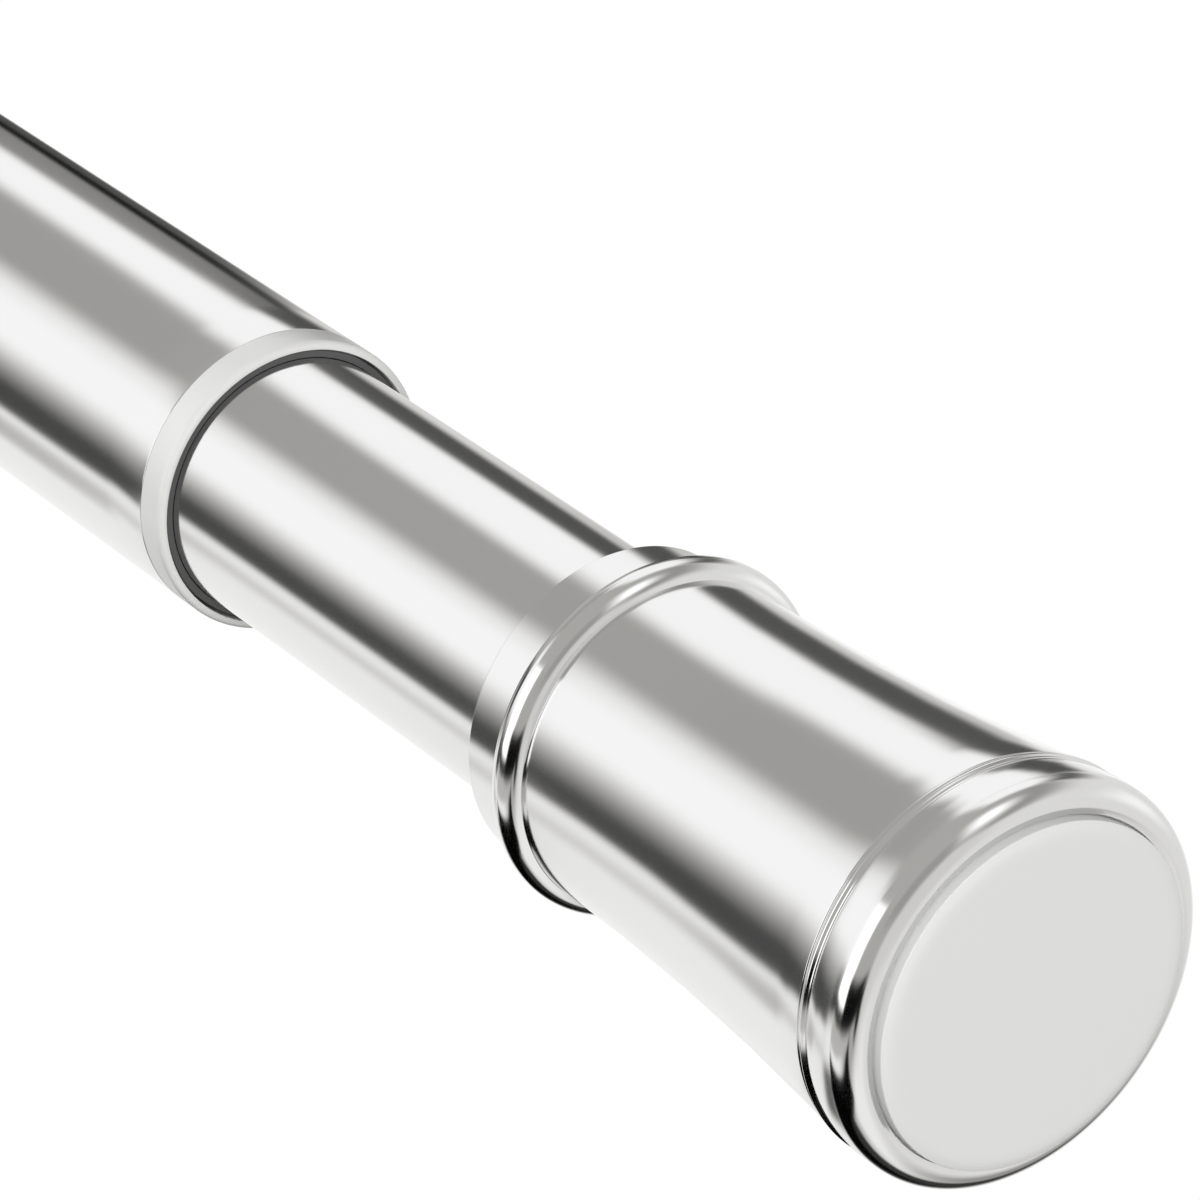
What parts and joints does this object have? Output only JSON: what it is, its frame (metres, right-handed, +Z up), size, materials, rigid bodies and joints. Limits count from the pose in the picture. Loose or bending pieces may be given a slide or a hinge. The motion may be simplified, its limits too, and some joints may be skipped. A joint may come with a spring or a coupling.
{
  "type": "spring tension rod",
  "caption": "Extending spring tension rod: telescoping polished tubes with flared, rubber-faced end caps and a twist lock inside.",
  "frame": {"origin": "centre of the outer tube's wall pad, on its face", "axes": "+X along the rod's axis from the outer tube's wall face to the inner tube's wall face, +Z up as mounted level"},
  "size_m": [0.4945, 0.0318, 0.0318],
  "materials": {
    "polished_tube": "mirror-polished steel tube",
    "polished_shell": "mirror-polished spun steel sheet",
    "wall_pad": "pale grey soft rubber, smooth and matt",
    "collar_plastic": "pale grey moulded plastic, satin",
    "bush_plastic": "dark grey moulded acetal",
    "moulded_nylon": "natural moulded nylon",
    "lock_plastic": "black moulded acetal",
    "wedge_plastic": "red moulded acetal",
    "drag_rubber": "black rubber",
    "spindle_steel": "drawn hexagon steel",
    "zinc_screw": "zinc-plated steel",
    "spring_steel": "oiled spring wire"
  },
  "bodies": {
    "outer": {"outer_tube": "polished_tube", "collar": "collar_plastic", "glide_bush": "bush_plastic", "outer_cap_shell": "polished_shell", "outer_cap_core": "moulded_nylon", "outer_pad": "wall_pad", "outer_tube_plug": "moulded_nylon", "outer_cap_screw": "zinc_screw"},
    "lock_shoe": {"lock_collet": "lock_plastic", "drag_ring": "drag_rubber"},
    "wedge": {"wedge_cone": "wedge_plastic"},
    "spindle": {"spindle": "spindle_steel", "thrust_washer": "zinc_screw", "retaining_clip": "spring_steel", "plunger": "lock_plastic", "plunger_screw": "zinc_screw"},
    "inner": {"inner_tube": "polished_tube", "guide_bush": "bush_plastic", "glide_ring": "moulded_nylon", "spring": "spring_steel", "spring_seat": "moulded_nylon", "inner_cap_shell": "polished_shell", "inner_cap_core": "moulded_nylon", "inner_pad": "wall_pad", "inner_tube_plug": "moulded_nylon", "inner_cap_screw": "zinc_screw"}
  },
  "joints": [
    {"name": "telescope", "type": "slide", "parent": "outer", "child": "lock_shoe", "axis": [1, 0, 0], "range_m": [-0.024, 0.2055]},
    {"name": "twist", "type": "hinge", "parent": "lock_shoe", "child": "spindle", "pos_m": [0.11, 0, 0], "axis": [1, 0, 0], "range_deg": [0, 540]},
    {"name": "wedge_travel", "type": "slide", "parent": "lock_shoe", "child": "wedge", "axis": [-1, 0, 0], "range_m": [0, 0.003]},
    {"name": "spring_stroke", "type": "slide", "parent": "spindle", "child": "inner", "axis": [1, 0, 0], "range_m": [-0.02, 0], "stiffness_N_per_m": 3280, "springref_m": 0.001, "deforming": ["spring"]}
  ],
  "couplings": [
    {"joint": "wedge_travel", "follows": "twist", "m_per_rad": 0.00031831}
  ]
}
